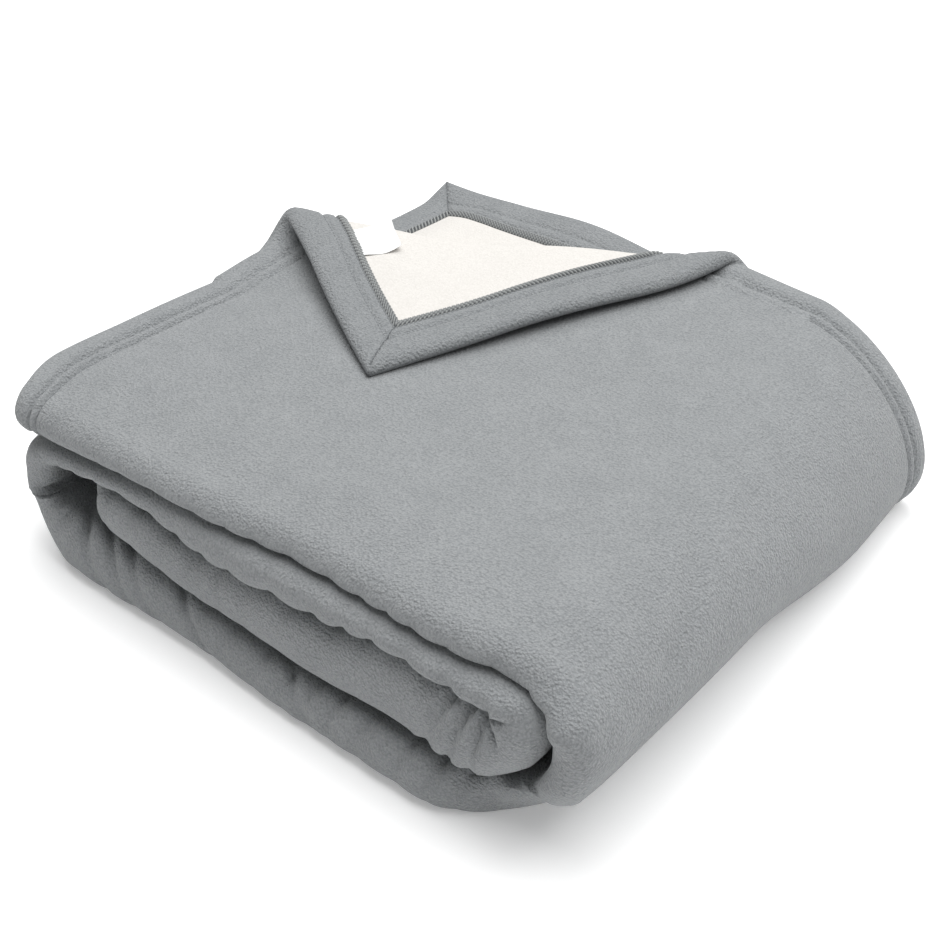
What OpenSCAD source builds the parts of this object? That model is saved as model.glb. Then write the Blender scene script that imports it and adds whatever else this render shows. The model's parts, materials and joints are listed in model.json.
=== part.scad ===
// Folded throw blanket: a two-sided fleece folded in four across its width, then wound into a flat stack.
// Origin: centre of the footprint at floor level. +X towards the big round spine fold,
// -Y towards the puffy folded edges, +Y towards the hemmed edges, +Z up.

/* [Cloth] */
// Thickness of one ply of the lofted two-sided cloth
ply_t = 5.2; // [4:0.1:6.4]
// Thickness of the fleece face within a ply
face_t = 3.2; // [2.4:0.1:3.6]
// Air between neighbouring plies and layers
ply_gap = 0.8; // [0.6:0.1:1.2]

/* [Folded stack] */
// Distance between the centres of the spine fold and the left fold
stack_run = 321; // [270:1:390]
// Depth of the stack, from its folded edges to its hemmed edges
stack_depth = 390; // [330:1:470]
// Overhang of the top layer past the centre of the left fold
top_overhang = 48; // [40:1:60]
// Thickness of the pressed inner end of the cloth
end_t = 15.2; // [12:0.2:20]
// Length of the inner end past the inner left fold
end_run = 286; // [220:1:300]
// Open pocket between the left fold and the inner left fold
left_pocket = 26; // [10:1:40]
// How far the inner end is drawn back from the folded front
end_recess = 18; // [5:1:30]
// How far the inner right fold's centre lies past the spine fold's
inner_right_shift = 3; // [0:1:6]
// How far the second ply's back edge is drawn in from the top ply's
second_inset = 18; // [5:1:30]
// How far the plies' hidden back fold is drawn in from the top ply's back edge
back_fold_inset = 6; // [2:1:20]

/* [Hem] */
// Width of the turned hem on the reverse
hem_w = 28; // [20:1:34]
// Width of the overlocked edge inside the hem
overlock_w = 5; // [3:0.5:7]
// Distance of the first stitch line from the edge
stitch_inset = 19; // [12:0.5:20]
// Distance between the two stitch lines
stitch_pitch = 6; // [4:0.5:8]
// Width of a line of thread
thread_w = 0.8; // [0.5:0.1:1.2]
// Thickness of a line of thread on the cloth
thread_t = 0.3; // [0.2:0.05:0.3]

/* [Turned corner] */
// Length of the left hem that is turned back with the corner
corner_left = 197; // [160:1:240]
// Length of the back hem that is turned back with the corner
corner_back = 302; // [240:1:320]
// Radius of the soft crease, at the middle of the cloth
crease_r = 10; // [8:0.5:12]
// Cloth that stays in a soft ridge along the crease when the corner is laid flat
crease_slack = 10; // [0:1:12]
// Gap along the cloth between the crease's roll and the turned corner
crease_gap = 0.8; // [0.6:0.1:1.5]
// Gap between the turned corner's tip and the top ply
tip_gap = 0.5; // [0.3:0.1:2]

/* [Care label] */
// Width of the label along the hem
label_w = 31; // [20:1:34]
// Length of the label from the hem to its free end
label_l = 34; // [20:1:45]
// Thickness of the label
label_t = 0.3; // [0.2:0.05:0.3]
// Distance of the label from the corner's tip, along the left hem
label_place = 92; // [60:1:95]

/* [Top layer hinge] */
// Length of the soft bend where the top layer lifts
bend_run = 60; // [50:1:80]

/* [Hidden] */
$fn = 96;
layer_t = 4 * ply_t + 3 * ply_gap;
layer_pitch = layer_t + ply_gap;
reverse_t = ply_t - face_t;
ply_pitch = ply_t + ply_gap;
hem_full = hem_w + overlock_w;

// heights of the five layers, from the floor up
bottom_z = 0;
fourth_z = bottom_z + layer_pitch;
third_z = fourth_z + end_t + ply_gap;
second_z = third_z + layer_pitch;
top_z = second_z + layer_pitch;
stack_top = top_z + layer_t;

// the folds that join the layers
spine_r = (stack_top - bottom_z) / 2;
left_r = (second_z + layer_t - bottom_z) / 2;
inner_left_r = (third_z + layer_t - fourth_z) / 2;
inner_right_r = (second_z + layer_t - third_z) / 2;
total_len = top_overhang + stack_run + spine_r + thread_t;
spine_x = total_len / 2 - spine_r - thread_t;
left_x = spine_x - stack_run;
inner_left_x = left_x + left_pocket;
inner_right_x = spine_x + inner_right_shift;
end_x = inner_left_x + end_run;
// angle the twin stitch lines run round the spine
stitch_sweep = 150;
// overlap between the shapes that make up one closed turn
turn_overlap = 1;

// edges of the plies in the top layer
front_y = -stack_depth / 2;
back_y = stack_depth / 2;
left_edge_x = left_x - top_overhang;
second_back_y = back_y - second_inset;
fold_back_y = back_y - back_fold_inset;
bend_x = spine_x - bend_run;
flap_run = bend_x - left_edge_x;
fourth_ply_z = top_z;
third_ply_z = fourth_ply_z + ply_pitch;
second_ply_z = third_ply_z + ply_pitch;
top_ply_z = second_ply_z + ply_pitch;
fold_y = front_y + layer_t / 2;

// the crease line, and the turn that carries the flat corner over it
crease_angle = atan2(corner_left, corner_back);
corner_reach = corner_left * cos(crease_angle);
crease_len = PI * crease_r;
flat_share = 1 - (crease_len + crease_gap) / corner_reach;
tilt = asin((2 * crease_r - ply_t - tip_gap) / (corner_reach - crease_len));
turn_c = cos(tilt);
turn_s = sin(tilt);
flat_gap = crease_len - crease_slack;
turned_reach = flat_gap * turn_c;
turned_rise = 2 * crease_r + flat_gap * turn_s;
axis_reach = (turned_reach + turn_s * turned_rise / (1 + turn_c)) / 2;
axis_rise = (turned_rise - turn_s * turned_reach / (1 + turn_c)) / 2;
top_ply_mid = top_ply_z + ply_t / 2;

// the mitre's thread runs at this angle and stops this far short of both its ends
mitre_angle = 45;
mitre_stop = 1.5;

// the label's stitches lie this far outside the band's inner edge, and this far in from its two sides
label_seam_inset = 2;
label_side_inset = 1;

fleece_grey = [0.47, 0.49, 0.50];
hem_grey = [0.40, 0.42, 0.43];
cream = [0.93, 0.91, 0.87];
thread_grey = [0.30, 0.32, 0.33];
thread_pale = [0.62, 0.62, 0.60];
label_white = [0.96, 0.96, 0.96];

// section of a layer in the plane of depth and height, with its puffy front edge
module layer_section(t, front) {
    translate([front + t / 2, 0]) square([back_y - front - t / 2, t]);
    translate([front + t / 2, t / 2]) circle(r = t / 2);
}

// straight run of a layer between two places along X
module layer_run(x0, x1, z, t, front) {
    translate([x0, 0, z]) rotate([90, 0, 90]) linear_extrude(x1 - x0) layer_section(t, front);
}

// half turn of a layer round an axis along Y; side is 1 for a turn to +X and -1 for a turn to -X
module layer_turn(x, z, outer_r, t, front, side) {
    translate([x, 0, z]) rotate([0, side * 90, 0]) rotate([90, 0, 0]) rotate_extrude(angle = 180) {
        translate([outer_r - t, -back_y]) square([t, back_y - front - t / 2]);
        translate([outer_r - t / 2, -front - t / 2]) circle(r = t / 2);
    }
}

// closed half turn of two layers that lie on each other
module closed_turn(x, z, outer_r, front, side) {
    round_r = layer_t / 2;
    translate([x, 0, z]) rotate([0, side * 90, 0]) rotate([90, 0, 0]) rotate_extrude(angle = 180) {
        translate([0, -back_y]) square([outer_r, back_y - front - round_r]);
        translate([0, -front - round_r - turn_overlap]) square([outer_r - round_r, round_r + turn_overlap]);
        intersection() {
            translate([outer_r - round_r, -front - round_r]) circle(r = round_r);
            translate([outer_r - round_r, -front - round_r]) square(round_r);
        }
    }
}

// the wound stack
module bottom_layer() color(fleece_grey) layer_run(left_x, spine_x, bottom_z, layer_t, front_y);

module left_fold() color(fleece_grey) layer_turn(left_x, left_r, left_r, layer_t, front_y, -1);

module second_layer() color(fleece_grey) layer_run(left_x, inner_right_x, second_z, layer_t, front_y);

module inner_right_fold() color(fleece_grey) {
    closed_turn(inner_right_x, third_z + inner_right_r, inner_right_r, front_y, 1);
}

module third_layer() color(fleece_grey) layer_run(inner_left_x, inner_right_x, third_z, layer_t, front_y);

module inner_left_fold() color(fleece_grey) {
    closed_turn(inner_left_x, fourth_z + inner_left_r, inner_left_r, front_y, -1);
}

module fourth_layer() color(fleece_grey) {
    layer_run(inner_left_x, end_x - hem_full, fourth_z, end_t, front_y + end_recess);
}

module inner_end_hem() color(hem_grey) {
    layer_run(end_x - hem_full, end_x, fourth_z, end_t, front_y + end_recess);
}

module spine_fold() color(fleece_grey) layer_turn(spine_x, spine_r, spine_r, layer_t, front_y, 1);

// the twin stitch lines run on round the spine, on its face, and stop short of the floor
module spine_topstitch() color(thread_grey) {
    for (line = [0, 1]) {
        translate([spine_x, 0, spine_r]) rotate([0, stitch_sweep - 90, 0]) rotate([90, 0, 0])
            rotate_extrude(angle = stitch_sweep)
            translate([spine_r, stitch_inset + line * stitch_pitch - back_y]) square([thread_t, thread_w]);
    }
}

// the top layer, ply by ply, from its bend on
module top_layer_bend() color(fleece_grey) layer_run(bend_x, spine_x, top_z, layer_t, front_y);

// flat sheet of the top layer between two heights and two places in depth
module ply_sheet(z, t, y0, y1) {
    translate([left_edge_x, y0, z]) cube([bend_x - left_edge_x, y1 - y0, t]);
}

// half tube along the top layer that joins two plies; side is -1 at the front and 1 at the back
module ply_turn(y, z, outer_r, t, side) {
    translate([left_edge_x, y, z]) rotate([90, 0, 90]) linear_extrude(bend_x - left_edge_x) {
        intersection() {
            difference() {
                circle(r = outer_r);
                circle(r = outer_r - t);
            }
            translate([side * outer_r, 0]) square(2 * outer_r, center = true);
        }
    }
}

module fourth_ply() color(fleece_grey) ply_sheet(fourth_ply_z, ply_t, fold_y, fold_back_y - ply_pitch);

module third_ply() color(fleece_grey) ply_sheet(third_ply_z, ply_t, fold_y, fold_back_y - ply_pitch);

module back_fold() color(fleece_grey) {
    ply_turn(fold_back_y - ply_pitch, third_ply_z - ply_gap / 2, ply_t + ply_gap / 2, ply_t, 1);
}

module outer_front_fold() color(fleece_grey) ply_turn(fold_y, top_z + layer_t / 2, layer_t / 2, ply_t, -1);

module inner_front_fold() color(fleece_grey) {
    ply_turn(fold_y, top_z + layer_t / 2, layer_t / 2 - ply_pitch, ply_t, -1);
}

// place on a ply's outline, measured in from its left edge and its back edge
function at_corner(in_left, in_back, y) = [left_edge_x + in_left, y - in_back];

// outline of a band along the left edge, mitred at the corner, as far as in_back
module left_band(a0, a1, in_back, y) {
    polygon([at_corner(a0, a0, y), at_corner(a1, a1, y), at_corner(a1, in_back, y), at_corner(a0, in_back, y)]);
}

// outline of a band along the back edge, mitred at the corner, as far as in_left
module back_band(a0, a1, in_left, y) {
    polygon([at_corner(a0, a0, y), at_corner(in_left, a0, y), at_corner(in_left, a1, y), at_corner(a1, a1, y)]);
}

module second_ply_fleece() color(fleece_grey) ply_sheet(second_ply_z, face_t, fold_y, second_back_y);

module second_ply_reverse() color(cream) {
    translate([left_edge_x + hem_full, fold_y, second_ply_z + face_t])
        cube([flap_run - hem_full, second_back_y - hem_full - fold_y, reverse_t]);
}

module second_ply_left_hem() color(hem_grey) {
    translate([0, 0, second_ply_z + face_t]) linear_extrude(reverse_t)
        left_band(0, hem_w, second_back_y - fold_y, second_back_y);
}

module second_ply_back_hem() color(hem_grey) {
    translate([0, 0, second_ply_z + face_t]) linear_extrude(reverse_t) back_band(0, hem_w, flap_run, second_back_y);
}

module second_ply_overlock() color(thread_pale) {
    translate([0, 0, second_ply_z + face_t]) linear_extrude(reverse_t) {
        left_band(hem_w, hem_full, second_back_y - fold_y, second_back_y);
        back_band(hem_w, hem_full, flap_run, second_back_y);
    }
}

// thread along the mitre, from the corner's point to the hem's inner corner
module mitre_thread(y) {
    translate(at_corner(0, 0, y)) rotate(-mitre_angle) translate([mitre_stop, -thread_w / 2])
        square([hem_w / cos(mitre_angle) - 2 * mitre_stop, thread_w]);
}

module second_ply_mitre_seam() color(thread_grey) translate([0, 0, second_ply_z + ply_t]) {
    linear_extrude(thread_t) mitre_thread(second_back_y);
}

module second_ply_topstitch() color(thread_grey) {
    translate([0, 0, second_ply_z + ply_t]) linear_extrude(thread_t) {
        for (inset = [stitch_inset, stitch_inset + stitch_pitch]) {
            translate([left_edge_x + inset, fold_y]) square([thread_w, second_back_y - fold_y - hem_full]);
            translate([left_edge_x + hem_full, second_back_y - inset]) square([flap_run - hem_full, thread_w]);
        }
    }
}

// the top ply stops at the crease line, where its corner is turned back
module top_ply_outline(in_left, in_back) {
    crease_y = corner_left - in_left * corner_left / corner_back;
    crease_x = corner_back - in_back * corner_back / corner_left;
    polygon([at_corner(in_left, back_y - fold_y, back_y), at_corner(flap_run, back_y - fold_y, back_y),
        at_corner(flap_run, in_back, back_y), at_corner(crease_x, in_back, back_y),
        at_corner(in_left, crease_y, back_y)]);
}

module top_ply_fleece() color(fleece_grey) {
    translate([0, 0, top_ply_z + reverse_t]) linear_extrude(face_t) top_ply_outline(0, 0);
}

module top_ply_reverse() color(cream) {
    translate([0, 0, top_ply_z]) linear_extrude(reverse_t) top_ply_outline(hem_full, hem_full);
}

module top_ply_left_hem() color(hem_grey) translate([0, 0, top_ply_z]) linear_extrude(reverse_t) {
    slope = corner_left / corner_back;
    polygon([at_corner(0, back_y - fold_y, back_y), at_corner(hem_full, back_y - fold_y, back_y),
        at_corner(hem_full, corner_left - hem_full * slope, back_y), at_corner(0, corner_left, back_y)]);
}

module top_ply_back_hem() color(hem_grey) translate([0, 0, top_ply_z]) linear_extrude(reverse_t) {
    slope = corner_back / corner_left;
    polygon([at_corner(flap_run, 0, back_y), at_corner(flap_run, hem_full, back_y),
        at_corner(corner_back - hem_full * slope, hem_full, back_y), at_corner(corner_back, 0, back_y)]);
}

module top_ply_topstitch() color(thread_grey) {
    translate([0, 0, top_ply_z + ply_t]) linear_extrude(thread_t) intersection() {
        top_ply_outline(0, 0);
        for (inset = [stitch_inset, stitch_inset + stitch_pitch]) {
            translate([left_edge_x + inset, fold_y]) square([thread_w, stack_depth]);
            translate([left_edge_x, back_y - inset - thread_w]) square([flap_run, thread_w]);
        }
    }
}

// frame whose X runs along the crease and whose Y points to where the corner lies when flat
module at_crease() {
    translate([left_edge_x, back_y - corner_left, top_ply_mid]) rotate([0, 0, crease_angle]) children();
}

// half roll of cloth along the crease; it starts longer than the crease and is trimmed to the ply's two edges
module crease_roll(outer_r, t) {
    spare = 3 * crease_r;
    intersection() {
        at_crease() translate([-spare, 0, crease_r]) rotate([90, 0, 90])
            linear_extrude(corner_back / cos(crease_angle) + 2 * spare) intersection() {
                difference() {
                    circle(r = outer_r);
                    circle(r = outer_r - t);
                }
                translate([outer_r, 0]) square(2 * outer_r, center = true);
            }
        translate([left_edge_x, front_y, 0]) cube([bend_x - left_edge_x, stack_depth, 2 * stack_top]);
    }
}

module crease_fleece() color(fleece_grey) crease_roll(crease_r - ply_t / 2 + face_t, face_t);

module crease_reverse() color(cream) crease_roll(crease_r + ply_t / 2, reverse_t);

// carries a piece of the flat corner over the crease, to where it lies turned back
module turned_back() {
    at_crease() translate([0, axis_reach, axis_rise]) rotate([180 + tilt, 0, 0])
        translate([0, -axis_reach - crease_slack, -axis_rise]) rotate([0, 0, -crease_angle])
            translate([-left_edge_x, corner_left - back_y, -top_ply_mid]) children();
}

// how far a band reaches along one edge before it meets the end of the crease
function left_reach(a) = corner_left * (flat_share - a / corner_back);
function back_reach(a) = corner_back * (flat_share - a / corner_left);

// triangle of the corner that starts a given distance in from both edges
module corner_outline(a) {
    polygon([at_corner(a, a, back_y), at_corner(back_reach(a), a, back_y),
        at_corner(a, left_reach(a), back_y)]);
}

// bands along the corner's two edges, cut off at the crease
module corner_left_band(a0, a1) {
    polygon([at_corner(a0, a0, back_y), at_corner(a1, a1, back_y),
        at_corner(a1, left_reach(a1), back_y), at_corner(a0, left_reach(a0), back_y)]);
}

module corner_back_band(a0, a1) {
    polygon([at_corner(a0, a0, back_y), at_corner(back_reach(a0), a0, back_y),
        at_corner(back_reach(a1), a1, back_y), at_corner(a1, a1, back_y)]);
}

module corner_fleece() color(fleece_grey) turned_back() {
    translate([0, 0, top_ply_z + reverse_t]) linear_extrude(face_t) corner_outline(0);
}

module corner_reverse() color(cream) turned_back() {
    translate([0, 0, top_ply_z]) linear_extrude(reverse_t) corner_outline(hem_full);
}

module corner_left_hem() color(hem_grey) turned_back() {
    translate([0, 0, top_ply_z]) linear_extrude(reverse_t) corner_left_band(0, hem_w);
}

module corner_back_hem() color(hem_grey) turned_back() {
    translate([0, 0, top_ply_z]) linear_extrude(reverse_t) corner_back_band(0, hem_w);
}

module corner_overlock() color(thread_pale) turned_back() {
    translate([0, 0, top_ply_z]) linear_extrude(reverse_t) {
        corner_left_band(hem_w, hem_full);
        corner_back_band(hem_w, hem_full);
    }
}

module corner_mitre_seam() color(thread_grey) turned_back() {
    translate([0, 0, top_ply_z - thread_t]) linear_extrude(thread_t) mitre_thread(back_y);
}

module corner_topstitch() color(thread_grey) turned_back() {
    translate([0, 0, top_ply_z - thread_t]) linear_extrude(thread_t) {
        for (inset = [stitch_inset, stitch_inset + stitch_pitch]) {
            translate([left_edge_x + inset, back_y - left_reach(inset + thread_w)])
                square([thread_w, left_reach(inset + thread_w) - hem_full]);
            translate([left_edge_x + hem_full, back_y - inset - thread_w])
                square([back_reach(inset + thread_w) - hem_full, thread_w]);
        }
    }
}

// the label lies on the reverse, sewn in along the overlocked edge
module label_stitching() color(label_white) turned_back() {
    translate([left_edge_x + hem_full - label_seam_inset, back_y - label_place - label_w + label_side_inset,
        top_ply_z - thread_t]) cube([thread_w, label_w - 2 * label_side_inset, thread_t]);
}

module care_label() color(label_white) turned_back() {
    translate([left_edge_x + hem_full, back_y - label_place - label_w, top_ply_z - thread_t / 2 - label_t])
        cube([label_l, label_w, label_t]);
}

bottom_layer();
left_fold();
second_layer();
inner_right_fold();
third_layer();
inner_left_fold();
fourth_layer();
inner_end_hem();
spine_fold();
spine_topstitch();
top_layer_bend();
fourth_ply();
third_ply();
back_fold();
outer_front_fold();
inner_front_fold();
second_ply_fleece();
second_ply_reverse();
second_ply_left_hem();
second_ply_back_hem();
second_ply_overlock();
second_ply_mitre_seam();
second_ply_topstitch();
top_ply_fleece();
top_ply_reverse();
top_ply_left_hem();
top_ply_back_hem();
top_ply_topstitch();
crease_fleece();
crease_reverse();
corner_fleece();
corner_reverse();
corner_left_hem();
corner_back_hem();
corner_overlock();
corner_mitre_seam();
corner_topstitch();
label_stitching();
care_label();
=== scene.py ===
import json
import math
import bmesh
import bpy
import numpy as np
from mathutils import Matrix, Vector


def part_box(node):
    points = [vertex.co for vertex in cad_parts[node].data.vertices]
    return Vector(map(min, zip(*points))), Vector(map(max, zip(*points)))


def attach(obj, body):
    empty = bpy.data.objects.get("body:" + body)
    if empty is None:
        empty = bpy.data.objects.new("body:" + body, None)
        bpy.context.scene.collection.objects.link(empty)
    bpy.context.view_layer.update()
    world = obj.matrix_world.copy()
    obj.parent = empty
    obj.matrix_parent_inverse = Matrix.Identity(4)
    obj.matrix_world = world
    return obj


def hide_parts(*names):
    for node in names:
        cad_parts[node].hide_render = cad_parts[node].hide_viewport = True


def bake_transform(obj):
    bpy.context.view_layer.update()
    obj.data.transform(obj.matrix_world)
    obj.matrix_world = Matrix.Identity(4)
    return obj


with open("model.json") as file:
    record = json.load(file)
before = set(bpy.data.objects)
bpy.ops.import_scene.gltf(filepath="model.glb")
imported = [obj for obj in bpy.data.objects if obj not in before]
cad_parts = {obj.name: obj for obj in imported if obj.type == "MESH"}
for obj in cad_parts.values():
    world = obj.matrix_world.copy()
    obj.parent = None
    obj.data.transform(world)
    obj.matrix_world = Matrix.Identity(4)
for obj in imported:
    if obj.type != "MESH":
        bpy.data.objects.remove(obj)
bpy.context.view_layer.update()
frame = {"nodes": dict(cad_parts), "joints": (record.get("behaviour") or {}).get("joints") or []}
print("frame loaded:", len(frame["nodes"]), "nodes")


def low(node, axis):
    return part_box(node)[0][axis]


def high(node, axis):
    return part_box(node)[1][axis]


def middle(node, axis):
    return (low(node, axis) + high(node, axis)) / 2


# the camera, the floor and the lights come first
studio = {
    "target": (-0.0625, 0.038, 0.0),  # the camera looks at this point on the floor
    "azimuth": 42.6,
    "elevation": 33.7,
    "distance": 1.1,
    "fieldOfView": 30.05,
    "floorSize": 8.0,
    "skyStrength": 0.26,
    "keyPower": 46.0,
    "keyPlace": (0.62, 0.18, 2.1),
    "keySize": 2.0,
    "fillPower": 32.0,
    "fillPlace": (-0.75, 0.45, 2.0),
    "fillSize": 2.0,
    "floorTone": 0.93,
    "floorGlow": 0.22,  # the floor gives off a little light of its own
    "floorRoughness": 0.9,
    "floorShine": 0.1,
    "lampTarget": (0, 0, 0.05),
    "nearest": 0.01,  # the camera sees nothing closer than this
}


def linked(name, data):
    # a new object of this data, in the scene
    thing = bpy.data.objects.new(name, data)
    bpy.context.scene.collection.objects.link(thing)
    return thing


def aim(thing, target):
    # turns a lamp or the camera so that it looks at the target
    away = Vector(target) - thing.location
    thing.rotation_mode = "QUATERNION"
    thing.rotation_quaternion = away.to_track_quat("-Z", "Y")


def makeCamera():
    turn = math.radians(studio["azimuth"])
    rise = math.radians(studio["elevation"])
    back = Vector((math.sin(turn) * math.cos(rise), -math.cos(turn) * math.cos(rise), math.sin(rise)))
    data = bpy.data.cameras.new("camera")
    data.angle = math.radians(studio["fieldOfView"])
    data.clip_start = studio["nearest"]
    camera = linked("camera", data)
    camera.location = Vector(studio["target"]) + back * studio["distance"]
    aim(camera, studio["target"])
    bpy.context.scene.camera = camera


def makeLamp(name, power, place, size):
    data = bpy.data.lights.new(name, "AREA")
    data.energy = power
    data.size = size
    lamp = linked(name, data)
    lamp.location = place
    aim(lamp, studio["lampTarget"])


def makeStudio():
    makeCamera()
    makeLamp("keyLight", studio["keyPower"], studio["keyPlace"], studio["keySize"])
    makeLamp("fillLight", studio["fillPower"], studio["fillPlace"], studio["fillSize"])
    world = bpy.data.worlds.new("softRoom")
    world.use_nodes = True
    sky = world.node_tree.nodes["Background"]
    sky.inputs["Color"].default_value = (1, 1, 1, 1)
    sky.inputs["Strength"].default_value = studio["skyStrength"]
    bpy.context.scene.world = world
    bpy.context.scene.view_settings.view_transform = "Standard"
    side = studio["floorSize"] / 2
    corners = [(-side, -side, 0), (side, -side, 0), (side, side, 0), (-side, side, 0)]
    mesh = bpy.data.meshes.new("floor")
    mesh.from_pydata(corners, [], [(0, 1, 2, 3)])
    floor = linked("floor", mesh)
    paint = bpy.data.materials.new("paleFloor")
    paint.use_nodes = True
    sockets = paint.node_tree.nodes["Principled BSDF"].inputs
    sockets["Base Color"].default_value = (studio["floorTone"],) * 3 + (1,)
    sockets["Roughness"].default_value = studio["floorRoughness"]
    sockets["Specular IOR Level"].default_value = studio["floorShine"]
    sockets["Emission Color"].default_value = (1, 1, 1, 1)
    sockets["Emission Strength"].default_value = studio["floorGlow"]
    mesh.materials.append(paint)


makeStudio()
print("camera, floor and lights made")

# measures of the folded cloth, read from the frame
plyThick = high("fourth_ply", 2) - low("fourth_ply", 2)
half = plyThick / 2
plyPitch = low("third_ply", 2) - low("fourth_ply", 2)
topMid = (low("fourth_ply", 2) + high("top_ply_fleece", 2)) / 2
secondMid = middle("second_layer", 2)
thirdMid = middle("third_layer", 2)
fourthMid = middle("fourth_layer", 2)
bottomMid = middle("bottom_layer", 2)
fourthThick = high("fourth_layer", 2) - low("fourth_layer", 2)
secondThick = high("second_layer", 2) - low("second_layer", 2)
endShare = fourthThick / secondThick  # the inner end is pressed thinner than the other layers
leftEdge = low("top_ply_left_hem", 0)
spineX = low("spine_fold", 0)
leftX = high("left_fold", 0)
innerLeftX = high("inner_left_fold", 0)
innerRightX = low("inner_right_fold", 0)
endX = high("inner_end_hem", 0)
backY = high("top_ply_back_hem", 1)
secondBackY = high("second_ply_back_hem", 1)
foldBackY = high("back_fold", 1)
outerTurn = 1.5 * plyPitch
innerTurn = plyPitch / 2
frontY = low("outer_front_fold", 1) + half + outerTurn
# the winding and the section are worked out on points this far apart, and the winding's turns are eased by a
# moving average this wide; the inner end lies this much further back than its solid
layout = {"step": 0.0005, "ease": 0.006, "endInset": 0.012}
endRecess = layout["endInset"] + low("fourth_layer", 1) - low("third_layer", 1)
print("cloth", round(plyThick, 4), "thick, plies", round(plyPitch, 4), "apart")


def line(a, b):
    # even points on a straight line
    n = max(2, int(math.dist(a, b) / layout["step"]))
    return np.linspace(a, b, n, endpoint=False)


def arc(centre, radius, start, turn):
    # points on a circle about centre, from the start angle through turn, in degrees
    n = max(8, int(abs(math.radians(turn)) * radius / layout["step"]))
    angle = np.radians(np.linspace(start, start + turn, n, endpoint=False))
    return np.stack([centre[0] + radius * np.cos(angle), centre[1] + radius * np.sin(angle)], axis=1)


def lengthAlong(points):
    # running sum of the distances from point to point
    return np.concatenate([[0], np.cumsum(np.linalg.norm(np.diff(points, axis=0), axis=1))])


# the winding: top layer, spine fold, bottom layer, left fold, second layer, and so on to the inner end
windingParts = [
    line((leftEdge, topMid), (spineX, topMid)),
    arc((spineX, (topMid + bottomMid) / 2), (topMid - bottomMid) / 2, 90, -180),
    line((spineX, bottomMid), (leftX, bottomMid)),
    arc((leftX, (bottomMid + secondMid) / 2), (secondMid - bottomMid) / 2, -90, -180),
    line((leftX, secondMid), (innerRightX, secondMid)),
    arc((innerRightX, (secondMid + thirdMid) / 2), (secondMid - thirdMid) / 2, 90, -180),
    line((innerRightX, thirdMid), (innerLeftX, thirdMid)),
    arc((innerLeftX, (thirdMid + fourthMid) / 2), (thirdMid - fourthMid) / 2, 90, 180),
    line((innerLeftX, fourthMid), (endX, fourthMid)),
]
windingLine = np.concatenate(windingParts + [[(endX, fourthMid)]])
windingStep = lengthAlong(windingLine)
windingMarks = [windingStep[sum(len(part) for part in windingParts[:i])] for i in range(len(windingParts))]
clothLength = windingStep[-1]
spineMark, bottomMark, leftMark, secondMark = windingMarks[1:5]
innerRightMark, thirdMark, innerLeftMark, fourthMark = windingMarks[5:]

# the section across the cloth: top ply, front fold, fourth ply, back fold, third ply, inner fold, second ply
backTurnY = foldBackY - half - innerTurn
sectionParts = [
    line((backY, outerTurn), (frontY, outerTurn)),
    arc((frontY, 0), outerTurn, 90, 180),
    line((frontY, -outerTurn), (backTurnY, -outerTurn)),
    arc((backTurnY, -plyPitch), innerTurn, -90, 180),
    line((backTurnY, -innerTurn), (frontY, -innerTurn)),
    arc((frontY, 0), innerTurn, -90, -180),
    line((frontY, innerTurn), (secondBackY, innerTurn)),
]
sectionLine = np.concatenate(sectionParts + [[(secondBackY, innerTurn)]])
sectionStep = lengthAlong(sectionLine)
sectionMarks = [sectionStep[sum(len(part) for part in sectionParts[:i])] for i in range(len(sectionParts))]
clothWidth = sectionStep[-1]
frontMark, fourthPlyMark, backMark, thirdPlyMark, innerMark, secondPlyMark = sectionMarks[1:]
print("flat cloth", round(clothWidth, 3), "by", round(clothLength, 3), "m")


def softened(values, reach):
    # moving average with a bell-shaped weight, the ends held by repeating them
    n = int(reach / layout["step"])
    weight = np.exp(-np.linspace(-2.2, 2.2, 2 * n + 1) ** 2)
    return np.convolve(np.pad(values, n, mode="edge"), weight / weight.sum(), mode="valid")


def tangentsOf(points):
    # unit vectors along the line
    along = np.gradient(points, axis=0)
    return along / np.linalg.norm(along, axis=1)[:, None]


windingSoft = np.stack([softened(windingLine[:, i], layout["ease"]) for i in (0, 1)], axis=1)
windingWay = tangentsOf(windingSoft)
sectionWay = tangentsOf(sectionLine)


def smooth(start, stop, value):
    # 0 before start, 1 past stop, and 3tt - 2ttt in between; start may be the larger of the two
    t = np.clip((value - start) / (stop - start), 0, 1)
    return t * t * (3 - 2 * t)


def windingAt(s):
    # place of the middle of the layer in X and Z, and the direction in which the top ply lies from it
    x = np.interp(s, windingStep, windingSoft[:, 0])
    z = np.interp(s, windingStep, windingSoft[:, 1])
    wayX = np.interp(s, windingStep, windingWay[:, 0])
    wayZ = np.interp(s, windingStep, windingWay[:, 1])
    return x, z, -wayZ, wayX


def sectionAt(v):
    # place across the layer in Y and thickness, and the direction in which the fleece face looks
    y = np.interp(v, sectionStep, sectionLine[:, 0])
    t = np.interp(v, sectionStep, sectionLine[:, 1])
    wayY = np.interp(v, sectionStep, sectionWay[:, 0])
    wayT = np.interp(v, sectionStep, sectionWay[:, 1])
    return y, t, wayT, -wayY


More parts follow.
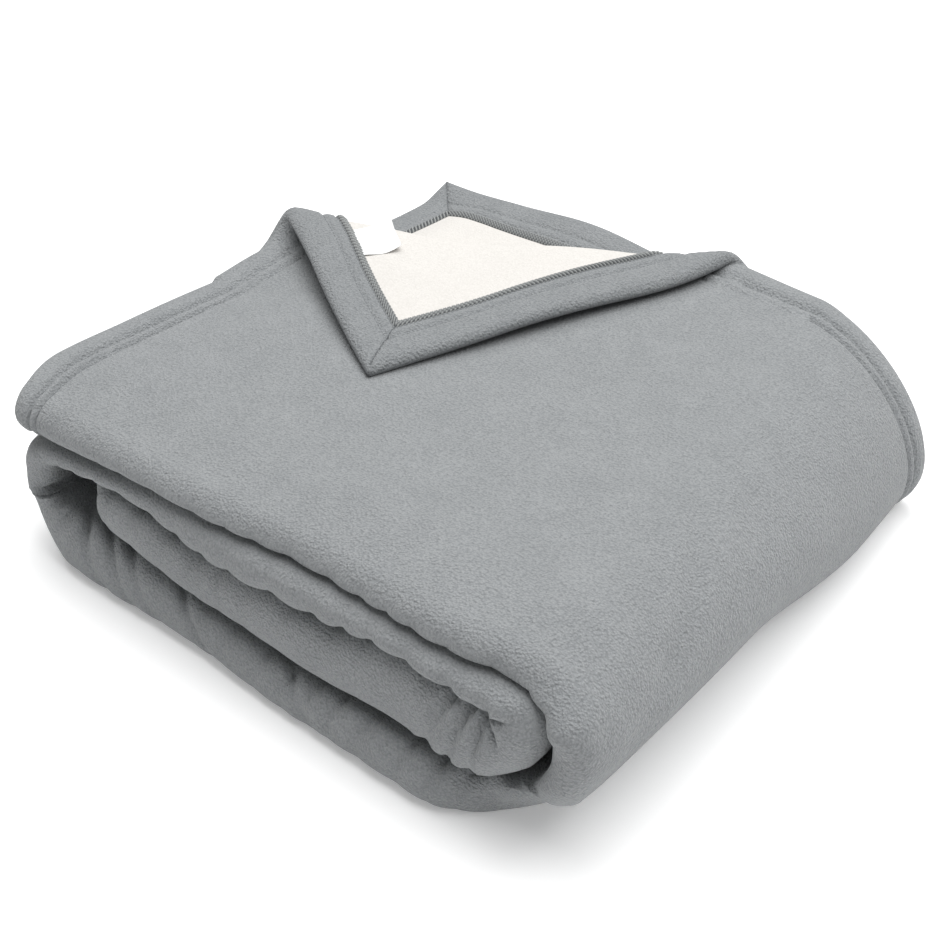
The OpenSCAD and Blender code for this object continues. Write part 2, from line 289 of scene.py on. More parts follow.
# the turned corner: its crease lies along the joint's axis
jointByName = {joint["name"]: joint for joint in frame["joints"]}
axisWay = np.array(jointByName["corner_turn"]["axis"][:2])
axisWay = axisWay / np.linalg.norm(axisWay)
creaseWay = np.array([-axisWay[1], axisWay[0]])  # from the crease towards the corner
topPlyZ = topMid + outerTurn
corner = {
    "leftLength": 0.197,  # hem turned back along the left edge
    "rollLength": 0.0314,  # cloth in the soft roll
    "tilt": 6.1,  # slope of the turned corner down to its tip, in degrees
    "leftRise": 0.12,  # how much fuller the roll is at its left end
    "riseReach": 0.12,  # along the crease, where that fullness ends
    "rightFade": 0.66,  # how much smaller the roll is where it runs out at the back hem
    "fadeFrom": 0.18,  # along the crease, where it starts to shrink
    "evenTurn": 0.75,  # share of the roll's turning that is even along it; the rest is quickest at its middle
    "endLift": 0.007,  # the ply stands up by this near the crease's left end
    "endReach": 0.16,  # along the crease, where that lift and the lean end
    "liftBefore": (-0.045, 0.008),  # across the crease, the stretch where the lift grows
    "liftAfter": 0.075,  # and how far past the roll it fades
    "lean": 0.9,  # how far the roll leans back at its left end, for its height
}
creaseStart = np.array([leftEdge, backY - corner["leftLength"]])
cornerReach = float((np.array([leftEdge, backY]) - creaseStart) @ creaseWay)
creaseRight = (backY - creaseStart[1]) / axisWay[1]


def rollTable():
    # path of the cloth over the crease for a roll of length 1: its slope grows, partly evenly and partly on an
    # S-curve, to a half turn and the tilt; run and rise are the sums of the slope's cosine and sine
    share = np.linspace(0, 1, 400)
    even = corner["evenTurn"]
    slope = (math.pi + math.radians(corner["tilt"])) * (even * share + (1 - even) * smooth(0, 1, share))
    step = share[1]
    run = np.concatenate([[0], np.cumsum((np.cos(slope[1:]) + np.cos(slope[:-1])) / 2 * step)])
    rise = np.concatenate([[0], np.cumsum((np.sin(slope[1:]) + np.sin(slope[:-1])) / 2 * step)])
    return share, run, rise, slope


rollShare, rollRun, rollRise, rollSlope = rollTable()


def turnedCorner(d, h, roll):
    # along and above the flat ply for cloth d past the crease; h lifts along the fleece's own normal
    share = np.clip(d / roll, 0, 1)
    past = np.maximum(d - roll, 0)
    run = np.interp(share, rollShare, rollRun) * roll + np.minimum(d, 0)
    rise = np.interp(share, rollShare, rollRise) * roll
    slope = np.interp(share, rollShare, rollSlope)
    run = run + past * np.cos(rollSlope[-1])
    rise = rise + past * np.sin(rollSlope[-1])
    return run - h * np.sin(slope), rise + h * np.cos(slope)


# soft irregularity of the folded edges
puff = {
    "bumpLength": 0.023,  # one puff of the folded edges
    "bumpHeight": 0.0032,
    "roundness": 0.6,  # below 1 the puffs are broad and the puckers between them narrow
    "slant": 0.35,
    "wander": ((0.006, 0.05, 0.0), (0.004, 0.017, 1.0)),  # size, length and start of the puffs' unevenness
    "depthRange": (0.15, 1.3),  # the shallowest and deepest puffs, for the usual one
    "depthFrom": (0.04, 0.20),  # along the winding, where the top layer's puffs grow in
    "reach": 0.013,  # how far a puff runs onto the ply
    "dent": 0.0016,
    "dentReach": 0.024,
    "lobe": 0.0035,  # extra fullness of the inner right fold
    "lobeReach": 0.035,
    "lobeCalm": 0.7,  # how much of the puffs that fold loses
    "wave": 0.0013,  # long low waves of the whole cloth
}


def waves(a, b, seed):
    # sum of five slow sine waves in two directions, about -1 to 1
    draw = np.random.default_rng(seed)
    total = 0
    for _ in range(5):
        alongA, alongB = draw.uniform(8, 34, 2)
        total = total + np.sin(a * alongA + b * alongB * draw.choice([-1, 1]) + draw.uniform(0, 6.28))
    return total / 2.6


def edgeDistance(s, v):
    # distance in from the nearest cut edge of the cloth
    return np.minimum(np.minimum(s, clothLength - s), np.minimum(v, clothWidth - v))


hem = {
    "width": 0.028,
    "overlock": 0.005,  # width of the overlocked edge inside the hem
    "stitchLines": (0.019, 0.027),  # in from the hem's edge
    "fullness": 0.0024,  # how much the hem stands out
    "noseWidth": 0.007,  # the hem's edge rounds up over this
    "fullTo": 0.013,  # and the fullness starts to fall from here to the first stitch line
    "between": (0.023, 0.0028, 0.5),  # place, width and share of the fullness between the stitch lines
    "groove": 0.0020,
    "grooveWidth": 0.0015,
    "curl": (0.003, 0.060, 0.055, 0.045),  # height, X, spread and width of the back hem's curl
    "secondTip": (0.003, 0.030),  # height and reach of the second corner's curl
    "secondWave": (0.007, -0.055, 0.070, 0.060),  # height, X, spread and width of the second back hem's wave
}


def hemRelief(e):
    # fleece face over the turned hem: full outside the first stitch line, a groove at each line
    full = hem["fullness"] * smooth(0.0, hem["noseWidth"], e)
    full = full * (1 - smooth(hem["fullTo"], hem["stitchLines"][0], e))
    at, width, share = hem["between"]
    between = share * hem["fullness"] * np.exp(-((e - at) / width) ** 2)
    grooves = sum(np.exp(-((e - stitchLine) / hem["grooveWidth"]) ** 2) for stitchLine in hem["stitchLines"])
    return full + between - hem["groove"] * grooves


foldLine = (frontMark + fourthPlyMark) / 2 + 0.009  # the puffs' middle, a little below the folded edge


def frontPuffs(s, v):
    # rounded puffs along a folded edge, with narrow slanted puckers between them: the size of a sine to a power
    # below 1, times a bell across the fold that fades it into the ply
    away = v - foldLine
    at = s + puff["slant"] * away
    for size, length, start in puff["wander"]:
        at = at + size * np.sin(s / length + start)
    bump = np.abs(np.sin(math.pi * at / puff["bumpLength"])) ** puff["roundness"]
    depth = np.clip(0.7 + 0.6 * waves(s, 0 * s, 11), *puff["depthRange"]) * smooth(*puff["depthFrom"], s)
    reach = np.exp(-(away / puff["reach"]) ** 2)
    dents = puff["dent"] * waves(1.7 * s, 3 * v, 7) * np.exp(-(away / puff["dentReach"]) ** 2)
    inTurn = smooth(innerRightMark - 0.03, innerRightMark + 0.01, s)
    inTurn = inTurn * (1 - smooth(thirdMark, thirdMark + 0.04, s))
    lobe = puff["lobe"] * inTurn * np.exp(-(away / puff["lobeReach"]) ** 2)
    calm = 1 - puff["lobeCalm"] * inTurn
    return puff["bumpHeight"] * (bump - 0.75) * depth * calm * reach + dents + lobe


# creases pressed into the folded front where the layers turn: place along the winding as a share of that turn,
# depth, width, slant across the fold, and how far they run onto the ply
turnCreases = {
    "spine": [
        (0.30, 0.0010, 0.0070, 0.7, 0.030), (0.52, 0.0012, 0.0070, 0.6, 0.026),
        (0.80, 0.0018, 0.0065, 0.9, 0.028), (0.96, 0.0012, 0.0070, 0.4, 0.028)],
    "left": [
        (0.20, 0.0014, 0.0030, -0.5, 0.016), (0.36, 0.0022, 0.0022, -0.3, 0.018),
        (0.46, 0.0018, 0.0022, 0.0, 0.016), (0.86, 0.0018, 0.0030, 0.6, 0.016)],
    "innerRight": [
        (-0.55, 0.0018, 0.0034, 0.7, 0.022), (0.05, 0.0020, 0.0030, 0.5, 0.022),
        (0.40, 0.0022, 0.0026, 0.1, 0.022), (0.75, 0.0028, 0.0024, -0.1, 0.024),
        (1.02, 0.0032, 0.0026, -0.3, 0.028), (1.30, 0.0032, 0.0030, -0.6, 0.030),
        (1.62, 0.0026, 0.0036, -0.9, 0.032)],
    "innerLeft": [
        (0.15, 0.0020, 0.0026, -0.3, 0.018), (0.5, 0.0024, 0.0024, 0.0, 0.018),
        (0.85, 0.0020, 0.0026, 0.3, 0.018)],
}
creaseShape = {
    "outwardShare": 0.6,  # how far a crease runs onto the upper ply, for its reach under the fold
    "ridge": 0.45,  # height of the ridges beside a crease, for its depth
}


def foldCreases(s, v):
    # each crease is a bell-shaped groove across the fold, with a low ridge on both sides; it dies out sooner on
    # the layer's upper ply
    turns = {"spine": (spineMark, bottomMark), "left": (leftMark, secondMark),
             "innerRight": (innerRightMark, thirdMark), "innerLeft": (innerLeftMark, fourthMark)}
    away = v - foldLine
    outward = np.where(away < 0, creaseShape["outwardShare"], 1.0)
    total = 0
    for turn, creases in turnCreases.items():
        start, stop = turns[turn]
        for share, depth, width, slant, reach in creases:
            at = s - (start + (stop - start) * share) - slant * away
            ridge = creaseShape["ridge"] * np.exp(-((np.abs(at) - 2 * width) / width) ** 2)
            groove = np.exp(-(at / width) ** 2) - ridge
            total = total - depth * groove * np.exp(-(away / (reach * outward)) ** 2)
    return total


pressed = {
    "lineAt": (0.024, 0.25),  # the press line over the spine: past the spine's start, and across the cloth
    "lineSlant": 0.42,
    "lineDepth": 0.0026,
    "lineWidth": 0.0055,
    "lineRidge": (0.0016, 0.012, 0.007),  # height, distance and width of the ridge beside it
    "lineEnds": (0.17, 0.23, 0.30, 0.36),  # it fades in and out across the cloth here
    # creases of the bottom layer: distance before the left fold, depth and slant
    "underCreases": ((0.018, 0.0034, 1.1), (0.040, 0.0038, 1.3), (0.060, 0.0026, 1.4), (0.104, 0.0030, 1.5),
                     (0.190, 0.0020, 1.2)),
    "underWidth": 0.0042,
    "underReach": 0.020,
}


def pressedLines(s, v):
    # a long faint diagonal press line over the spine, and slanting creases on the bottom layer near the left
    # fold, each a bell-shaped groove
    past, across = pressed["lineAt"]
    height, beside, width = pressed["lineRidge"]
    fromLine = s - spineMark - past - pressed["lineSlant"] * (v - across)
    spineLine = pressed["lineDepth"] * np.exp(-(fromLine / pressed["lineWidth"]) ** 2)
    spineLine = spineLine - height * np.exp(-((fromLine - beside) / width) ** 2)
    total = -spineLine * smooth(*pressed["lineEnds"][:2], v) * (1 - smooth(*pressed["lineEnds"][2:], v))
    away = v - foldLine
    for back, depth, slant in pressed["underCreases"]:
        at = s - (leftMark - back) - slant * away
        groove = depth * np.exp(-(at / pressed["underWidth"]) ** 2)
        total = total - groove * np.exp(-(away / pressed["underReach"]) ** 2)
    return total


def secondHemLift(s, v):
    # the second ply's bare corner curls up a little, and its back hem stands in a long low wave
    x, e = leftEdge + s, clothWidth - v
    height, reach = hem["secondTip"]
    tip = height * np.exp(-(s ** 2 + e ** 2) / reach ** 2)
    height, at, spread, width = hem["secondWave"]
    wave = height * np.exp(-((x - at) / spread) ** 2) * (1 - smooth(0.0, width, e)) ** 1.2
    return tip + wave


def clothLift(s, v):
    # the sum of the puffs, the creases and the press lines
    return frontPuffs(s, v) + foldCreases(s, v) + pressedLines(s, v)


settle = {
    # heights of the layers' gaps at the back of the stack and at its puffy front
    "gapsBehind": (0.0, 0.0236, 0.0396, 0.0636, 0.0876, 0.1112),
    "gapsFrontLeft": (0.0, 0.040, 0.0445, 0.0765, 0.0905, 0.1115),
    "gapsFrontMiddle": (0.0, 0.029, 0.032, 0.068, 0.0935, 0.1130),
    "gapsFrontRight": (0.0, 0.030, 0.034, 0.077, 0.0965, 0.1145),
    "frontDrop": 0.006,  # the top ply rounds down over the front
    "topPly": (0.012, 0.011),  # below and above the top layer's middle, where that rounding grows
    "topRecess": 0.009,  # the top layer's folded edge lies a little behind the second layer's
    "spineRecess": 0.008,
    "spineTaper": 0.027,  # the spine is drawn in towards the back at the floor
    "spineLean": 0.38,  # and leans in by this share of its height
    "leanFrom": 0.0115,  # height from which it leans
    "taperY": (-0.195, 0.39),  # start and length of the taper from front to back
    "taperX": (-0.16, 0.27),  # start and length of its growth towards the spine
    "spineTuck": 0.017,  # its lower side is rolled in
    "leftFullness": 0.007,  # the left fold bulges at its front
    "leftEdgeDroop": 0.009,  # the top layer's free edge hangs down before the second ply's corner
    "underFront": -0.004,  # the lowest layer's folded edge pushes out, and is tucked under below the spine
    "underSpine": 0.030,
    "leftDroop": 0.004,  # the left side settles
    "leftGapDroop": 0.006,  # and so does the gap under the top layer at the front left
    "leftCornerDroop": -0.003,  # the front left corner stands up a little
    "leftCornerInset": 0.016,  # and is drawn in
}

# the stretches over which each part of the settling grows from nothing to all
stretches = {
    "front": (-0.09, -0.185), "leftThird": (-0.13, -0.04), "rightThird": (0.04, 0.10),
    "gapX": (-0.03, -0.19), "gapLow": (0.04, 0.09), "gapHigh": (0.091, 0.113), "roundY": (-0.12, -0.205),
    "recessX": (-0.12, 0.06), "recessZ": (0.086, 0.102), "spineX": (0.12, 0.19), "waveZ": (0.0, 0.09),
    "leftX": (-0.14, -0.215), "leftY": (-0.10, -0.195), "leftZ": (0.03, 0.1),
    "tuckX": (0.10, 0.18), "tuckY": (-0.03, 0.11), "tuckZ": (0.012, 0.075),
    "bulgeX": (-0.17, -0.20), "bulgeY": (-0.05, -0.17), "bulgeLow": (0.01, 0.04), "bulgeHigh": (0.06, 0.088),
    "hangX": (-0.16, -0.212), "hangFrom": (0.03, 0.08), "hangTo": (0.150, 0.185), "hangZ": (0.06, 0.09),
    "insetY": (-0.15, -0.2), "underX": (0.12, 0.20), "underY": (-0.12, -0.195), "underZ": (0.0, 0.055),
}


def grown(name, value):
    # how far value has come through the named stretch, 0 to 1 on an S-curve
    return smooth(*stretches[name], value)


def spaceWarp(p):
    # settling of the whole stack, one shift after another, each the product of its amount and its S-curves: the
    # front puffs up by layers and rounds down, the spine runs in and leans in towards the back, and the
    # overhanging left edge droops
    x, y, z = p[..., 0], p[..., 1], p[..., 2]
    front = grown("front", y)
    left, right = 1 - grown("leftThird", x), grown("rightThird", x)
    puffed = np.maximum(z - settle["gapsBehind"][-1], 0)
    middleShare = 1 - left - right
    for gaps, share in (("gapsFrontLeft", left), ("gapsFrontMiddle", middleShare), ("gapsFrontRight", right)):
        puffed = puffed + share * np.interp(z, settle["gapsBehind"], settle[gaps])
    leftGap = grown("gapX", x) * grown("gapLow", puffed) * (1 - grown("gapHigh", puffed))
    z = z + front * (puffed - z - settle["leftGapDroop"] * leftGap)
    below, above = settle["topPly"]
    z = z - settle["frontDrop"] * grown("roundY", y) ** 1.4 * smooth(topMid - below, topMid + above, z)
    y = y + settle["topRecess"] * front * grown("recessX", x) * grown("recessZ", z)
    y = y + settle["spineRecess"] * front * grown("spineX", x)
    height = grown("waveZ", z)
    z = z + puff["wave"] * waves(x, y, 3) * height
    leftward = grown("leftX", x)
    leftCorner = leftward * grown("leftY", y)
    z = z - (settle["leftDroop"] * leftward + settle["leftCornerDroop"] * leftCorner) * grown("leftZ", z)
    start, length = settle["taperY"]
    back = np.clip((y - start) / length, 0, 1.05) ** 1.8
    inward = settle["spineTaper"] + settle["spineLean"] * np.clip(z - settle["leanFrom"], -0.01, 0.11)
    start, length = settle["taperX"]
    x = x - inward * back * np.clip((x - start) / length, 0, 1.25)
    x = x - settle["spineTuck"] * (1 - grown("tuckZ", z)) * (1 - grown("tuckY", y)) * grown("tuckX", x)
    bulge = grown("bulgeLow", z) * (1 - grown("bulgeHigh", z)) * grown("bulgeY", y)
    x = x - settle["leftFullness"] * bulge * grown("bulgeX", x)
    hanging = grown("hangX", x) * grown("hangFrom", y) * (1 - grown("hangTo", y))
    z = z - settle["leftEdgeDroop"] * hanging * grown("hangZ", z)
    x = x + settle["leftCornerInset"] * leftCorner * grown("insetY", y)
    under = (1 - grown("underZ", z)) * grown("underY", y)
    y = y + under * (settle["underFront"] + settle["underSpine"] * grown("underX", x))
    return np.stack([x, y, z], axis=-1)


def creaseLift(along, past, roll):
    # the roll leans back and stands fuller at its left end, and the ply lifts a little before the crease
    end = 1 - smooth(0.0, corner["endReach"], along)
    lift = corner["endLift"] * end * smooth(*corner["liftBefore"], past)
    lift = lift * (1 - smooth(roll, roll + corner["liftAfter"], past))
    return lift, corner["lean"] * end


def hemCurl(s, v):
    # right of the turned corner the back hem stays curled up, most at the hem itself
    height, at, spread, width = hem["curl"]
    return height * np.exp(-((leftEdge + s - at) / spread) ** 2) * (1 - smooth(0.0, width, v)) ** 1.3


def place(s, v, h):
    # from the cloth to space: s runs along the winding, v across the cloth, and h is above its middle along the
    # fleece's normal. The winding's line gives X and Z, the folded section gives Y and the height in the layer
    s, v, h = np.broadcast_arrays(np.asarray(s, float), np.asarray(v, float), np.asarray(h, float))
    share = 1 + (endShare - 1) * smooth(innerLeftMark, fourthMark, s)
    x, z, upX, upZ = windingAt(s)
    y, t, outY, outT = sectionAt(v)
    recess = endRecess * smooth(innerLeftMark - 0.02, fourthMark, s) * smooth(-0.02, -0.18, y)
    h = h + clothLift(s, v)
    lift = share * (t + h * outT) + np.where(v < frontMark, hemCurl(s, v), 0)
    lift = lift + np.where(v > secondPlyMark, secondHemLift(s, v), 0)
    inner = (s > innerLeftMark - 0.01) & (s < fourthMark + 0.01)
    lift = np.where(inner, np.minimum(lift, 0.95 * (thirdMid - fourthMid) / 2), lift)
    point = np.stack([x + upX * lift, y + recess + outY * h, z + upZ * lift], axis=-1)
    # the corner of the top ply turns over its crease
    flat = np.stack([leftEdge + s, backY - v], axis=-1) - creaseStart
    along = flat @ axisWay
    past = flat @ creaseWay
    roll = corner["rollLength"] * (1 + corner["leftRise"] * (1 - smooth(0.0, corner["riseReach"], along)))
    roll = roll * (1 - corner["rightFade"] * smooth(corner["fadeFrom"], creaseRight, along))
    run, rise = turnedCorner(past, h, roll)
    lift, lean = creaseLift(along, past, roll)
    run = run + lean * np.maximum(rise, 0)
    rise = rise + lift + hemCurl(s, v)
    turned = np.stack([
        creaseStart[0] + along * axisWay[0] + run * creaseWay[0],
        creaseStart[1] + along * axisWay[1] + run * creaseWay[1],
        topPlyZ + rise], axis=-1)
    useTurned = (v < frontMark - 0.15) & (s < spineMark - 0.002)
    return spaceWarp(np.where(useTurned[..., None], turned, point))


def gridFaces(rows, columns, offset=0):
    # the four-sided faces of a grid of points, row by row
    i, j = np.meshgrid(np.arange(rows - 1), np.arange(columns - 1), indexing="ij")
    a = offset + i * columns + j
    return np.stack([a, a + columns, a + columns + 1, a + 1], axis=-1).reshape(-1, 4)


def faceOutward(mesh, merge=0):
    # points closer than merge become one, faces without area go, and the rest are turned outward
    work = bmesh.new()
    work.from_mesh(mesh)
    if merge:
        bmesh.ops.remove_doubles(work, verts=work.verts, dist=merge)
        bmesh.ops.dissolve_degenerate(work, edges=work.edges, dist=1e-7)
    bmesh.ops.recalc_face_normals(work, faces=work.faces)
    work.to_mesh(mesh)
    work.free()


def meshPiece(name, points, faces, slots, materials, rimSlot):
    # one closed mesh with a material for each slot; its rim is flat shaded and takes the first material
    mesh = bpy.data.meshes.new(name)
    mesh.from_pydata(points.reshape(-1, 3), [], faces.tolist())
    for material in materials:
        mesh.materials.append(material)
    mesh.polygons.foreach_set("material_index", np.asarray(slots, np.int32))
    faceOutward(mesh, merge=2e-5)
    used = np.zeros(len(mesh.polygons), np.int32)
    mesh.polygons.foreach_get("material_index", used)
    mesh.polygons.foreach_set("use_smooth", used != rimSlot)
    mesh.polygons.foreach_set("material_index", np.where(used == rimSlot, 0, used))
    mesh.set_sharp_from_angle(angle=math.radians(62))
    mesh.update()
    return linked(name, mesh)


def sandwich(name, top, bottom, materials):
    # two grids of the same size, one for each face of the cloth, closed along their four sides
    rows, columns = top.shape[:2]
    count = rows * columns
    faces = [gridFaces(rows, columns), gridFaces(rows, columns, count)[:, ::-1]]
    slots = [np.zeros(len(faces[0])), np.ones(len(faces[1]))]
    index = np.arange(count).reshape(rows, columns)
    for rim in (index[0], index[-1][::-1], index[:, 0][::-1], index[:, -1]):
        side = np.stack([rim[:-1], rim[1:], rim[1:] + count, rim[:-1] + count], axis=-1)
        faces.append(side)
        slots.append(np.full(len(side), 2))
    points = np.concatenate([top.reshape(-1, 3), bottom.reshape(-1, 3)])
    return meshPiece(name, points, np.concatenate(faces), np.concatenate(slots), materials, rimSlot=2)


def samples(*stretches):
    # even samples over stretches given as (from, to, step), joined
    parts = [np.linspace(a, b, max(2, int(round(abs(b - a) / step)) + 1)) for a, b, step in stretches]
    joined = np.concatenate(parts)
    keep = np.concatenate([[True], np.diff(joined) > 1e-6])
    return joined[keep]


def rounding(e):
    # share of the cloth's half thickness at distance e from its cut edge: a quarter circle
    t = np.clip(1 - e / half, 0, 1)
    return np.sqrt(1 - t * t)


def rimSamples(start, way):
    # the close samples that round an edge off
    return start + way * half * np.array([0, 0.04, 0.15, 0.35, 0.65, 1.0])


def newMaterial(name):
    material = bpy.data.materials.new(name)
    material.use_nodes = True
    return material, material.node_tree.nodes, material.node_tree.links


def noiseTexture(nodes, scale, detail):
    noise = nodes.new("ShaderNodeTexNoise")
    noise.inputs["Scale"].default_value = scale
    noise.inputs["Detail"].default_value = detail
    return noise


def addedTo(nodes, links, value, factor, base):
    # value times factor, plus base
    total = nodes.new("ShaderNodeMath")
    total.operation = "MULTIPLY_ADD"
    total.inputs[1].default_value = factor
    links.new(value, total.inputs[0])
    links.new(base, total.inputs[2])
    return total.outputs[0]


def shaded(nodes, links, value, *stops):
    # the shader's colour, run from one (position, colour) stop to the other by value
    shades = nodes.new("ShaderNodeValToRGB")
    for element, (position, colour) in zip(shades.color_ramp.elements, stops):
        element.position = position
        element.color = (*colour, 1)
    links.new(value, shades.inputs["Fac"])
    links.new(shades.outputs["Color"], nodes["Principled BSDF"].inputs["Base Color"])


pileLook = {
    "roughness": 0.95,
    "shine": 0.12,
    "sheenRoughness": 0.55,
    "nubs": -0.5,  # how strongly the nubs show, high at their middles
    "patches": 0.35,  # and the slow patches
    "patchSize": 16,  # size of a patch, for the pile's
}


def fleece(name, dark, light, pile, height, sheen):
    # brushed pile: rounded nubs of the given size from cell distances, broken up by a finer noise, and a slow
    # noise for the patches where the nap lies another way
    material, nodes, links = newMaterial(name)
    shader = nodes["Principled BSDF"]
    shader.inputs["Roughness"].default_value = pileLook["roughness"]
    shader.inputs["Specular IOR Level"].default_value = pileLook["shine"]
    shader.inputs["Sheen Weight"].default_value = sheen
    shader.inputs["Sheen Roughness"].default_value = pileLook["sheenRoughness"]
    nubs = nodes.new("ShaderNodeTexVoronoi")
    nubs.inputs["Scale"].default_value = 1 / pile
    tufts = noiseTexture(nodes, 0.8 / pile, 3)
    patches = noiseTexture(nodes, 1 / (pile * pileLook["patchSize"]), 4)
    where = nodes.new("ShaderNodeTexCoord")
    for texture in (nubs, tufts, patches):
        links.new(where.outputs["Object"], texture.inputs["Vector"])
    relief = addedTo(nodes, links, nubs.outputs["Distance"], pileLook["nubs"], tufts.outputs["Fac"])
    tone = addedTo(nodes, links, patches.outputs["Fac"], pileLook["patches"], relief)
    shaded(nodes, links, tone, (0.20, dark), (0.68, light))
    bump = nodes.new("ShaderNodeBump")
    bump.inputs["Strength"].default_value = 1.0
    bump.inputs["Distance"].default_value = height
    links.new(relief, bump.inputs["Height"])
    links.new(bump.outputs["Normal"], shader.inputs["Normal"])
    return material


def loopedThread(name, dark, light):
    # sewn loops side by side, from the strip's ridge attribute: pale on the loops, the thread's own colour, and
    # painted shade between them
    material, nodes, links = newMaterial(name)
    nodes["Principled BSDF"].inputs["Roughness"].default_value = 0.8
    loopShade = nodes.new("ShaderNodeAttribute")
    loopShade.attribute_name = "loopShade"
    shaded(nodes, links, loopShade.outputs["Fac"], (0.25, dark), (0.95, light))
    return material


# each finish: its dark and light colours, then the size of its pile or weave, its relief, and its sheen
finishes = {
    "greyFleece": ((0.225, 0.236, 0.243), (0.305, 0.316, 0.323), 0.0013, 0.0012, 0.2),
    # the hem bands' fleece is the grey fleece made darker, painted shade on the turned hems
    "shadedHemFleece": ((0.20, 0.211, 0.218), (0.28, 0.291, 0.298), 0.0013, 0.0013, 0.2),
    "creamReverse": ((0.60, 0.58, 0.55), (0.66, 0.64, 0.61), 0.0012, 0.0003, 0.05),
    "seamThread": ((0.10, 0.108, 0.112), (0.19, 0.20, 0.21), 0.0012, 0.0002, 0.1),
    "labelSatin": ((0.84, 0.84, 0.84), (0.93, 0.93, 0.93), 0.0004, 0.00008, 0.1),
}
greyFleece, shadedHemFleece, creamReverse, seamThread, labelSatin = [
    fleece(name, *look) for name, look in finishes.items()]
# the overlock thread: the pale colour is the thread's own, the dark between its loops is painted shade
overlockThread = loopedThread("overlockThread", (0.075, 0.08, 0.084), (0.30, 0.31, 0.305))
print("materials made")


def clothPiece(name, s, v):
    # one stretch of the folded cloth: a grid over s and v for the fleece face and one for the reverse. The half
    # thickness falls to nothing in a quarter circle at each cut edge, and hemRelief shapes the face
    e = edgeDistance(s, v)
    body = half * rounding(e)
    top = place(s, v, body + hemRelief(e) * rounding(e))
    bottom = place(s, v, -body)
    return sandwich(name, top, bottom, [greyFleece, creamReverse])


def sectionSamples(topStep, hiddenStep=0.04):
    # samples across the cloth from the top ply's edge to the second ply's, closer where the cloth shows
    return samples(
        (0.006, 0.016, 0.002), (0.016, 0.031, 0.001), (0.031, frontMark - 0.04, topStep),
        (frontMark - 0.04, frontMark, 0.003), (frontMark, fourthPlyMark, 0.0014),
        (fourthPlyMark, fourthPlyMark + 0.03, 0.004), (fourthPlyMark + 0.03, backMark, hiddenStep),
        (backMark, thirdPlyMark, 0.0018), (thirdPlyMark, innerMark, hiddenStep),
        (innerMark, secondPlyMark, 0.0018), (secondPlyMark, clothWidth - 0.035, hiddenStep),
        (clothWidth - 0.035, clothWidth - 0.006, 0.0025))


joinAt = 0.26  # the top layer's rows bend to meet the crease up to here, and run straight after it
acrossTop = sectionSamples(0.0035, 0.009)
splitLength = 0.12  # the outer winding ends and the inner one starts this far along the second layer


def makeWinding():
    # the stretch from the spine to the left fold, and the stretch inside it
    across = np.concatenate([rimSamples(0, 1), sectionSamples(0.012), rimSamples(clothWidth, -1)[::-1]])
    outer = samples((spineMark, bottomMark, 0.0035), (bottomMark, leftMark, 0.0033),
                    (leftMark, secondMark, 0.003), (secondMark, secondMark + splitLength, 0.0033))
    s, v = np.meshgrid(outer, across, indexing="ij")
    first = clothPiece("outer_winding", s, v)
    inner = samples((secondMark + splitLength, innerRightMark, 0.0033), (innerRightMark, thirdMark, 0.0028),
                    (thirdMark, innerLeftMark, 0.0033), (innerLeftMark, fourthMark, 0.0028),
                    (fourthMark, clothLength - 0.006, 0.006))
    inner = np.concatenate([inner, rimSamples(clothLength, -1)[::-1]])
    s, v = np.meshgrid(inner, across, indexing="ij")
    second = clothPiece("inner_winding", s, v)
    return first, second


def makeTopLayer():
    # the top ply's grid starts at the crease instead of at the hem where the corner is turned back
    inner = samples((0.006, 0.016, 0.002), (0.016, 0.031, 0.001), (0.031, spineMark, 0.0032))
    along = np.concatenate([rimSamples(0, 1), inner])
    share = samples((0.0, 1.0, 0.012))
    start = np.clip(corner["leftLength"] - along * axisWay[1] / axisWay[0], 0, None)
    head = start[:, None] + (joinAt - start[:, None]) * share[None, :]
    rest = acrossTop[acrossTop > joinAt + 0.001]
    tail = np.concatenate([rest, rimSamples(clothWidth, -1)[::-1]])
    v = np.concatenate([head, np.broadcast_to(tail, (len(along), len(tail)))], axis=1)
    s = np.broadcast_to(along[:, None], v.shape)
    return clothPiece("top_layer", s, v)


def makeCorner():
    # rows run from the crease to the tip, and each row from the left hem to the back hem
    roll = corner["rollLength"]
    down = samples((0.0, roll, 0.0016), (roll, cornerReach - 0.006, 0.0026))
    down = np.concatenate([down, rimSamples(cornerReach, -1)[::-1]])
    rimShare = np.array([0, 0.0008, 0.003, 0.007, 0.013, 0.02])
    across = np.concatenate([rimShare, samples((0.028, 0.972, 0.0085)), 1 - rimShare[::-1]])
    d, u = np.meshgrid(down, across, indexing="ij")
    left = d * axisWay[1] / axisWay[0]
    right = (corner["leftLength"] - axisWay[0] * d) / axisWay[1]
    w = left + (right - left) * u
    flat = creaseStart + w[..., None] * axisWay + d[..., None] * creaseWay
    s = np.maximum(flat[..., 0] - leftEdge, 0)
    v = np.maximum(backY - flat[..., 1], 0)
    return clothPiece("turned_corner", s, v)


outerWinding, innerWinding = makeWinding()
topLayer = makeTopLayer()
turnedCornerPiece = makeCorner()
print("cloth made")

# the hems: a band of fleece turned over each edge onto the reverse, and the overlocked edge inside it

seamTilt = axisWay[1] / axisWay[0]
band = {
    "nose": -0.0014,  # the turned band reaches this far past the cloth's edge
    "noseWidth": 0.005,  # and is rounded up to here
    "depth": (0.0016, 0.0042),  # depth at the edge below the cloth's middle, and what the nose adds
    "thinning": (0.0009, 0.006, 0.024),  # it thins by this between these two distances
    "groove": (0.0012, 0.0012),  # depth and width at each stitch line
    "past": 0.0045,  # this far past the hem the cloth's own reverse shows
}


def edgeToCloth(edge, along, e):
    # along an edge and in from it, to the cloth's own s and v
    if edge == "left":
        return e, along
    if edge == "back":
        return along, e
    if edge == "second":
        return along, clothWidth - e
    return clothLength - e, along


